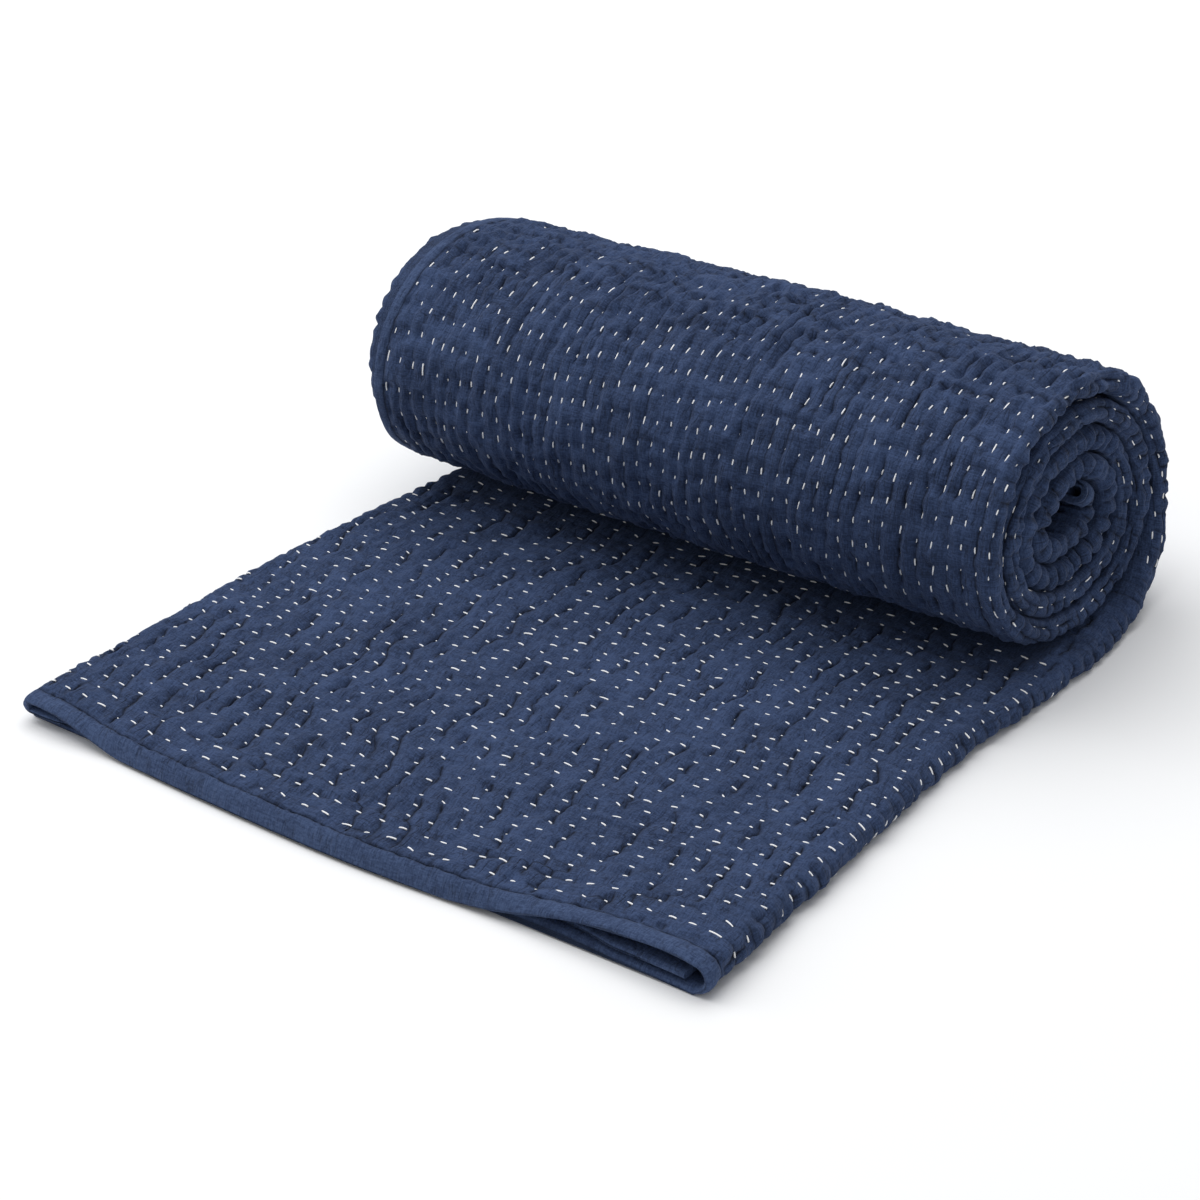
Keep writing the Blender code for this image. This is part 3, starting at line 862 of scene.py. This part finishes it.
# How far stitches turn out of their row, and how far beside one the slope of the cloth is taken.
LAID_TURN = math.radians(9.0)
ROLL_TURN = math.radians(4.5)
PROBE = 0.0012


def row_stitches(salt, rows, pitch, reach, jitter):
    """The stitches of one set of rows: places along the row and from the edge, in mm, and lengths."""
    draws = np.random.default_rng(SEED + salt + 90)
    runs, fars, lengths = [], [], []
    for far in rows:
        fine = np.arange(*reach)
        chains = fine / pitch + chain_shift(salt, fine, np.full_like(fine, far))
        wanted = np.arange(math.ceil(chains.min()), math.floor(chains.max()) + 1)
        run = np.interp(wanted, chains, fine) + STITCH_SHIFT + draws.normal(0.0, jitter, len(wanted))
        runs.append(run)
        strays = draws.normal(0.0, ROW_JITTER, len(run))
        fars.append(far - row_wander(salt, run, np.full_like(run, far)) + strays)
        length = np.clip(draws.normal(1.0, LENGTH_SPREAD, len(run)), 0.5, 1.45)
        length[draws.random(len(run)) < SHORT_SHARE] *= 0.5
        lengths.append(length)
    return np.concatenate(runs), np.concatenate(fars), np.concatenate(lengths)


def add_stitches(name, keep, along, u, way, lengths, thickness, turn):
    """Loose points on the cloth, each with its stitch's way, the way out of the cloth and its size."""
    along, u, lengths, thickness = (values[keep] for values in (along, u, lengths, thickness))
    along_step, u_step = way
    here = surface(along, u)[0]
    here[:, 2] = np.maximum(here[:, 2], THREAD / 2.0 + ARCH)
    probes = ((0.0, 0.0), (along_step, u_step), (-along_step, -u_step), (u_step, -along_step))
    base, ahead, behind, beside = (base_surface(along + PROBE * a, u + PROBE * b) for a, b in probes)
    direction = ahead - behind
    out = np.cross(beside - base, direction)
    out = out / np.linalg.norm(out, axis=1, keepdims=True)
    direction = direction / np.linalg.norm(direction, axis=1, keepdims=True)
    turn = np.random.default_rng(SEED + 99).normal(0.0, turn, len(along))[:, None]
    direction = np.cos(turn) * direction + np.sin(turn) * np.cross(out, direction)
    size = np.stack([lengths * STITCH, thickness, thickness], axis=1)
    mesh = bpy.data.meshes.new(name)
    mesh.from_pydata(here.tolist(), [], [])
    for key, values in (("way", direction), ("out", out), ("size", size)):
        attribute = mesh.attributes.new(key, "FLOAT_VECTOR", "POINT")
        attribute.data.foreach_set("vector", values.astype(np.float32).ravel())
    return new_object(name, mesh)


def stitches_laid():
    """The rows across the laid part: over the right fold, the upper face and the left fold."""
    rows = FRONT_ROWS[:LAID_ROWS]
    inner = row_stitches(30, rows[BORDER_ROWS:], PITCH, LAID_RUN, LAID_JITTER)
    border = row_stitches(30, rows[:BORDER_ROWS], BORDER_PITCH, LAID_RUN, BORDER_JITTER)
    run, far, lengths = (np.concatenate(pair) for pair in zip(inner, border))
    lengths[len(inner[0]):] *= BORDER_STITCH
    u = run / MM
    along = far / MM - BINDING_WIDTH
    x = outer_side(place_at(along), u)[0]
    for _ in range(3):
        along = (far + row_sag(x, (along + BINDING_WIDTH) * MM)) / MM - BINDING_WIDTH
    zones = outer_side(place_at(along), u)[4]
    keep = (u > zones.to_fold + 0.002) & (u < zones.to_left + 0.010) & (along < SEWN_END)
    thickness = np.ones_like(u)
    return add_stitches("stitches_laid", keep, along, u, (0.0, 1.0), lengths, thickness, LAID_TURN)


def stitches_rolled():
    """The rows along the roll: its outer turn, and the folds at both ends of every turn."""
    run, far, lengths = row_stitches(10, SIDE_ROWS, SIDE_PITCH, ROLL_RUN, ROLL_JITTER)
    u = np.concatenate([far / MM, CLOTH_WIDTH - far / MM])
    along = np.concatenate([run, run]) / MM - BINDING_WIDTH
    lengths = ROLL_STITCH * np.concatenate([lengths, lengths])
    place = place_at(along)
    zones = outer_side(place, u)[4]
    low = (u < zones.to_fold) & (place.angle > 18.0) & (place.angle < 330.0)
    fold = (u > zones.to_fold - 0.003) & (u < zones.to_top + 0.004) & (place.angle > 2.0)
    left = (u > zones.to_left - 0.002) & (u < zones.to_left + 0.011) & (place.angle > 2.0)
    side = np.minimum(u, CLOTH_WIDTH - u)
    ends = np.minimum(along + BINDING_WIDTH, CLOTH_LENGTH - along - BINDING_WIDTH)
    keep = (low | fold | left) & (side < ends - 0.004) & (along < END_LENGTH - 0.003)
    at_end = (u > zones.to_fold) & (place.angle > 300.0)
    dropped = np.random.default_rng(SEED + 98).random(len(u)) < END_DROPPED
    keep = keep & ~(at_end & dropped)
    thickness = np.where(at_end, END_THREAD, 1.0)
    return add_stitches("stitches_roll", keep, along, u, (1.0, 0.0), lengths, thickness, ROLL_TURN)


laid_points = stitches_laid()
rolled_points = stitches_rolled()

# ---- materials ----

# The real threads are 0.3 mm apart, too fine to show here, so they are drawn twice as coarse.
WARP_MM = 0.65
SLUB_MM = 7.0

# Fine crinkles run with the length of the cloth, with painted shade along their lines.
CRINKLE_WIDE_MM = 4.2
CRINKLE_LONG_MM = 13.0
CRINKLE_WIDTH = 0.03
# How much of the painted crease shade the crinkles' lines take.
CRINKLE_SHADE = 0.45

# Noise over the cloth, by scale, detail and roughness: worn patches, flecks of the yarn, its fuzz, and the
# places where it crinkles.
COTTON_NOISES = (
    (30.0, 5.0, 0.62),
    (900.0, 2.0, 0.7),
    (420.0, 3.0, 0.6),
    (95.0, 2.0, 0.6),
)


def hex_colour(text):
    """An sRGB hex colour as linear values."""
    parts = [int(text[i:i + 2], 16) / 255.0 for i in (1, 3, 5)]
    return tuple(p / 12.92 if p <= 0.04045 else ((p + 0.055) / 1.055) ** 2.4 for p in parts) + (1.0,)


def add(tree, kind, sockets=None, output=0, **settings):
    """Adds one node and gives back an output of it: sockets take a value or another node's output."""
    node = tree.nodes.new(kind)
    for name, value in settings.items():
        setattr(node, name, value)
    for socket, value in (sockets or {}).items():
        if isinstance(value, bpy.types.NodeSocket):
            tree.links.new(value, node.inputs[socket])
        else:
            node.inputs[socket].default_value = value
    return node.outputs[output] if node.outputs else None


def new_material(name):
    """A new material and its node tree, still empty."""
    material = bpy.data.materials.new(name)
    material.use_nodes = True
    material.node_tree.nodes.clear()
    return material, material.node_tree


# The lines along which shade is painted into the cloth: the attribute with the way to each line, the
# attribute with its depth, and how far the painted shade falls off to each side, in mm.
CREASE_LINES = (
    ("off", "depth", "half_width"),
    ("crease_off", "crease_depth", 1.0),
    ("furrow_off", "furrow_depth", 0.75),
    ("seam_off", None, 0.8),
)


def line_at_zero(tree, value, half_width):
    """1 where a value is 0, falling off on both sides over about that half width."""
    away = add(tree, "ShaderNodeMath", {0: value}, operation="ABSOLUTE")
    share = add(tree, "ShaderNodeMath", {0: away, 1: -1.0 / half_width}, operation="MULTIPLY")
    return add(tree, "ShaderNodeMath", {0: share}, operation="EXPONENT")


def crease_lines(tree):
    """1 in the bottom of the creases, the furrows and the seams, falling off to both sides: where shade is
    painted into the cloth.
    """
    lines = 0.0
    for off, depth, half_width in CREASE_LINES[1:]:
        off = add(tree, "ShaderNodeAttribute", output="Fac", attribute_name=off)
        line = line_at_zero(tree, off, half_width)
        deep = add(tree, "ShaderNodeAttribute", output="Fac", attribute_name=depth) if depth else 0.7
        line = add(tree, "ShaderNodeMath", {0: line, 1: deep}, operation="MULTIPLY")
        lines = add(tree, "ShaderNodeMath", {0: line, 1: lines}, operation="MAXIMUM")
    return lines


def navy_cotton(name, low, high, crease, line_shade):
    """Washed cotton muslin, plain-woven and piece-dyed navy between the low and the high colour: matt and
    fibrous and lighter on its slubs, with shade painted into its creases, furrows, seams and crinkles by
    mixing in the crease colour."""
    material, tree = new_material(name)
    place = add(tree, "ShaderNodeTexCoord", output="Object")
    cloth = add(tree, "ShaderNodeUVMap", uv_map="cloth")
    slubs = 0.0
    for wide, long in ((WARP_MM, SLUB_MM), (SLUB_MM, WARP_MM)):
        scale = (MM / wide, MM / long, 1.0)
        threads = add(tree, "ShaderNodeMapping", {"Vector": cloth, "Scale": scale})
        threads = add(tree, "ShaderNodeTexNoise",
                      {"Vector": threads, "Scale": 1.0, "Detail": 2.0, "Roughness": 0.6})
        slubs = add(tree, "ShaderNodeMath", {0: threads, 1: slubs}, operation="ADD")
    patches, fleck, rough, where = (
        add(tree, "ShaderNodeTexNoise",
            {"Vector": place, "Scale": scale, "Detail": detail, "Roughness": roughness})
        for scale, detail, roughness in COTTON_NOISES)
    grain = add(tree, "ShaderNodeMath", {0: slubs, 1: 0.9, 2: fleck}, operation="MULTIPLY_ADD")
    both = add(tree, "ShaderNodeMath", {0: patches, 1: 0.75, 2: grain}, operation="MULTIPLY_ADD")
    share = add(tree, "ShaderNodeMapRange", {"Value": both, "From Min": 1.54, "From Max": 2.02})
    dyed = add(tree, "ShaderNodeMix", {"Factor": share, "A": hex_colour(low), "B": hex_colour(high)},
               output="Result", data_type="RGBA")
    # Painted shade: the crease colour is mixed in along the creases, the furrows and the seams, more where
    # the fuzz noise is high, and along the crinkles. The same lines also dip the bump.
    lines = crease_lines(tree)
    uneven = add(tree, "ShaderNodeMath", {0: rough, 1: 0.45}, operation="ADD")
    uneven = add(tree, "ShaderNodeMath", {0: lines, 1: uneven}, operation="MULTIPLY")
    scale = (MM / CRINKLE_WIDE_MM, MM / CRINKLE_LONG_MM, 1.0)
    stretched = add(tree, "ShaderNodeMapping", {"Vector": cloth, "Scale": scale})
    folds = add(tree, "ShaderNodeTexNoise",
                {"Vector": stretched, "Scale": 1.0, "Detail": 1.5, "Roughness": 0.55, "Distortion": 0.4})
    away = add(tree, "ShaderNodeMath", {0: folds, 1: 0.5}, operation="SUBTRACT")
    thin = line_at_zero(tree, away, CRINKLE_WIDTH)
    where = add(tree, "ShaderNodeMapRange", {"Value": where, "From Min": 0.46, "From Max": 0.62})
    crinkle = add(tree, "ShaderNodeMath", {0: thin, 1: where}, operation="MULTIPLY")
    # The share of painted shade: the crease lines by their depth, plus the crinkles, at most 0.95.
    dark = add(tree, "ShaderNodeMath", {0: uneven, 1: line_shade}, operation="MULTIPLY")
    dark = add(tree, "ShaderNodeMath", {0: crinkle, 1: CRINKLE_SHADE, 2: dark}, operation="MULTIPLY_ADD")
    dark = add(tree, "ShaderNodeMath", {0: dark, 1: 0.95}, operation="MINIMUM")
    shade = add(tree, "ShaderNodeMix", {"Factor": dark, "A": dyed, "B": hex_colour(crease)},
                output="Result", data_type="RGBA")
    ridges = add(tree, "ShaderNodeTexNoise",
                 {"Vector": place, "Scale": 140.0, "Detail": 4.0, "Roughness": 0.55},
                 noise_type="RIDGED_MULTIFRACTAL")
    height = 0.0
    heights = ((rough, 0.9), (ridges, -0.7), (folds, 1.6), (slubs, 0.16), (crinkle, -0.5), (uneven, -1.0))
    for part, weight in heights:
        height = add(tree, "ShaderNodeMath", {0: part, 1: weight, 2: height}, operation="MULTIPLY_ADD")
    bump = add(tree, "ShaderNodeBump", {"Height": height, "Strength": 0.8, "Distance": 0.001})
    surface_of_cloth = {
        "Base Color": shade,
        "Normal": bump,
        "Roughness": 0.93,
        "Specular IOR Level": 0.22,
        "Sheen Weight": 0.16,
        "Sheen Roughness": 0.45,
        "Sheen Tint": hex_colour("#8fa3cf"),
    }
    shader = add(tree, "ShaderNodeBsdfPrincipled", surface_of_cloth)
    add(tree, "ShaderNodeOutputMaterial", {"Surface": shader})
    return material


def two_tone(tree, scale, low, high):
    """A colour that wavers between two, and the noise that it follows."""
    place = add(tree, "ShaderNodeTexCoord", output="Object")
    share = add(tree, "ShaderNodeTexNoise", {"Vector": place, "Scale": scale, "Detail": 2.0})
    colour = add(tree, "ShaderNodeMix", {"Factor": share, "A": hex_colour(low), "B": hex_colour(high)},
                 output="Result", data_type="RGBA")
    return colour, share


def white_thread():
    """Cotton embroidery thread, twisted and mercerised: white, a little fuzzy, with a soft shine."""
    material, tree = new_material("white_cotton_thread")
    white, fuzz = two_tone(tree, 1500.0, "#f4f6f9", "#ffffff")
    bump = add(tree, "ShaderNodeBump", {"Height": fuzz, "Strength": 0.5, "Distance": 0.0002})
    shader = add(tree, "ShaderNodeBsdfPrincipled",
                 {"Base Color": white, "Normal": bump, "Roughness": 0.75, "Sheen Weight": 0.2})
    add(tree, "ShaderNodeOutputMaterial", {"Surface": shader})
    return material


# Each cotton's low and high colour, then the colour of the shade painted into its creases, furrows, seams
# and crinkles, and how much of it the crease lines take.
quilted = navy_cotton("quilted_cotton_navy", "#24314c", "#3b4c6f", "#080b16", 0.95)
bound = navy_cotton("binding_cotton_navy", "#2c3a58", "#425375", "#0d1222", 0.9)
thread = white_thread()


def stitch_tree():
    """Geometry Nodes: a short arched length of thread on every point, along its row."""
    tree = bpy.data.node_groups.new("running stitches", "GeometryNodeTree")
    tree.interface.new_socket("Geometry", in_out="OUTPUT", socket_type="NodeSocketGeometry")
    tree.interface.new_socket("Geometry", in_out="INPUT", socket_type="NodeSocketGeometry")
    kinds = {"Thread radius": "Float", "Arch": "Float", "Sides": "Int", "Steps": "Int"}
    for name, kind in (*kinds.items(), ("Thread", "Material")):
        tree.interface.new_socket(name, in_out="INPUT", socket_type="NodeSocket" + kind)
    tree.nodes.new("NodeGroupInput")
    given = tree.nodes[-1].outputs
    dip = add(tree, "ShaderNodeMath", {0: given["Arch"], 1: -1.0}, operation="MULTIPLY")
    high = add(tree, "ShaderNodeMath", {0: given["Arch"], 1: 2.0}, operation="MULTIPLY")
    start = add(tree, "ShaderNodeCombineXYZ", {"X": -0.5, "Z": dip})
    middle = add(tree, "ShaderNodeCombineXYZ", {"Z": high})
    end = add(tree, "ShaderNodeCombineXYZ", {"X": 0.5, "Z": dip})
    arch = add(tree, "GeometryNodeCurveQuadraticBezier",
               {"Resolution": given["Steps"], "Start": start, "Middle": middle, "End": end})
    ring = add(tree, "GeometryNodeCurvePrimitiveCircle",
               {"Resolution": given["Sides"], "Radius": given["Thread radius"]})
    tube = add(tree, "GeometryNodeCurveToMesh", {"Curve": arch, "Profile Curve": ring, "Fill Caps": True})
    way, out, size = (
        add(tree, "GeometryNodeInputNamedAttribute", {"Name": name}, data_type="FLOAT_VECTOR")
        for name in ("way", "out", "size"))
    turn = add(tree, "FunctionNodeAxesToRotation", {"Primary Axis": out, "Secondary Axis": way},
               primary_axis="Z", secondary_axis="X")
    placed = add(tree, "GeometryNodeInstanceOnPoints",
                 {"Points": given["Geometry"], "Instance": tube, "Rotation": turn, "Scale": size})
    real = add(tree, "GeometryNodeRealizeInstances", {"Geometry": placed})
    soft = add(tree, "GeometryNodeSetShadeSmooth", {"Geometry": real})
    dressed = add(tree, "GeometryNodeSetMaterial", {"Geometry": soft, "Material": given["Thread"]})
    add(tree, "NodeGroupOutput", {"Geometry": dressed})
    return tree


STITCHES = stitch_tree()


def sew(points):
    """Runs the stitch tree on a set of points and keeps its result as a plain mesh."""
    modifier = points.modifiers.new("stitches", "NODES")
    modifier.node_group = STITCHES
    values = {"Thread radius": THREAD / 2.0, "Arch": ARCH, "Sides": 6, "Steps": 5, "Thread": thread}
    for item in STITCHES.interface.items_tree:
        if item.item_type == "SOCKET" and item.in_out == "INPUT" and item.name in values:
            modifier[item.identifier] = values[item.name]
    graph = bpy.context.evaluated_depsgraph_get()
    mesh = bpy.data.meshes.new_from_object(points.evaluated_get(graph))
    points.modifiers.remove(modifier)
    points.data = mesh


sew(laid_points)
sew(rolled_points)

for piece in (cloth_laid, cloth_outer, cloth_inner):
    piece.data.materials.append(quilted)
    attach(piece, "root")
    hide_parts("quilt")
for piece, node in ((front_binding, "binding_front_end"), (wound_binding, "binding_wound_end"),
                    (side_binding, "binding_outer_side"), (inner_binding, "binding_inner_side")):
    piece.data.materials.append(bound)
    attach(piece, "root")
    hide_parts(node)
for piece in (laid_points, rolled_points):
    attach(piece, "root")

# ---- stage, light and camera ----


def pale_floor():
    """Seamless studio paper, a matt wood-pulp paper on a roll: an even near-white under the quilt."""
    material, tree = new_material("studio_paper")
    pale = two_tone(tree, 3.0, "#f4f5f7", "#f8f9fa")[0]
    shader = add(tree, "ShaderNodeBsdfPrincipled",
                 {"Base Color": pale, "Roughness": 0.9, "Specular IOR Level": 0.1})
    add(tree, "ShaderNodeOutputMaterial", {"Surface": shader})
    return material


FLOOR_HALF = 9.0
FLOOR_BELOW = 0.0003

floor_mesh = bpy.data.meshes.new("floor")
sides = ((-1, -1), (1, -1), (1, 1), (-1, 1))
corners = [(x * FLOOR_HALF, y * FLOOR_HALF, -FLOOR_BELOW) for x, y in sides]
floor_mesh.from_pydata(corners, [], [(0, 1, 2, 3)])
floor = new_object("floor", floor_mesh)
floor.data.materials.append(pale_floor())


def area_light(name, place, target, size, power):
    """A white rectangular light at a place, turned to a target."""
    data = bpy.data.lights.new(name, "AREA")
    data.shape = "RECTANGLE"
    data.size, data.size_y = size
    data.energy = power
    made = new_object(name, data)
    made.location = place
    made.rotation_euler = (Vector(target) - Vector(place)).to_track_quat("-Z", "Y").to_euler()


area_light("overhead", (-0.55, 0.25, 2.4), (0.0, 0.0, 0.05), (3.0, 3.0), 60.0)
area_light("left_fill", (-2.4, -0.9, 1.3), (0.0, 0.0, 0.08), (1.6, 1.6), 11.0)

sky = bpy.data.worlds.new("studio")
sky.use_nodes = True
light_of_sky = sky.node_tree.nodes["Background"].inputs
light_of_sky["Color"].default_value = hex_colour("#ffffff")
light_of_sky["Strength"].default_value = 0.46
bpy.context.scene.world = sky
bpy.context.scene.view_settings.view_transform = "Standard"

# A camera with a 96 mm lens on a 36 mm sensor, fitted to the photograph.
CAMERA_PLACE = (0.89315, -1.1315, 0.8352)
CAMERA_YAW = math.radians(-38.60)
CAMERA_PITCH = math.radians(29.05)
CAMERA_ROLL = math.radians(-2.617)
FOCAL_PIXELS = 3188.0
IMAGE_PIXELS = 1200.0
SENSOR = 36.0


def add_camera():
    """The camera at the photograph's viewing angle."""
    forward = Vector((math.sin(CAMERA_YAW), math.cos(CAMERA_YAW), 0.0))
    ahead = math.cos(CAMERA_PITCH) * forward - math.sin(CAMERA_PITCH) * Vector((0.0, 0.0, 1.0))
    level = Vector((math.cos(CAMERA_YAW), -math.sin(CAMERA_YAW), 0.0))
    upright = level.cross(ahead)
    right = math.cos(CAMERA_ROLL) * level + math.sin(CAMERA_ROLL) * upright
    up = -math.sin(CAMERA_ROLL) * level + math.cos(CAMERA_ROLL) * upright
    data = bpy.data.cameras.new("camera")
    data.sensor_width = SENSOR
    data.lens = FOCAL_PIXELS / IMAGE_PIXELS * SENSOR
    data.clip_end = 50.0
    made = new_object("camera", data)
    turn = Matrix((right, up, -ahead)).transposed().to_4x4()
    made.matrix_world = Matrix.Translation(CAMERA_PLACE) @ turn
    bpy.context.scene.camera = made


add_camera()
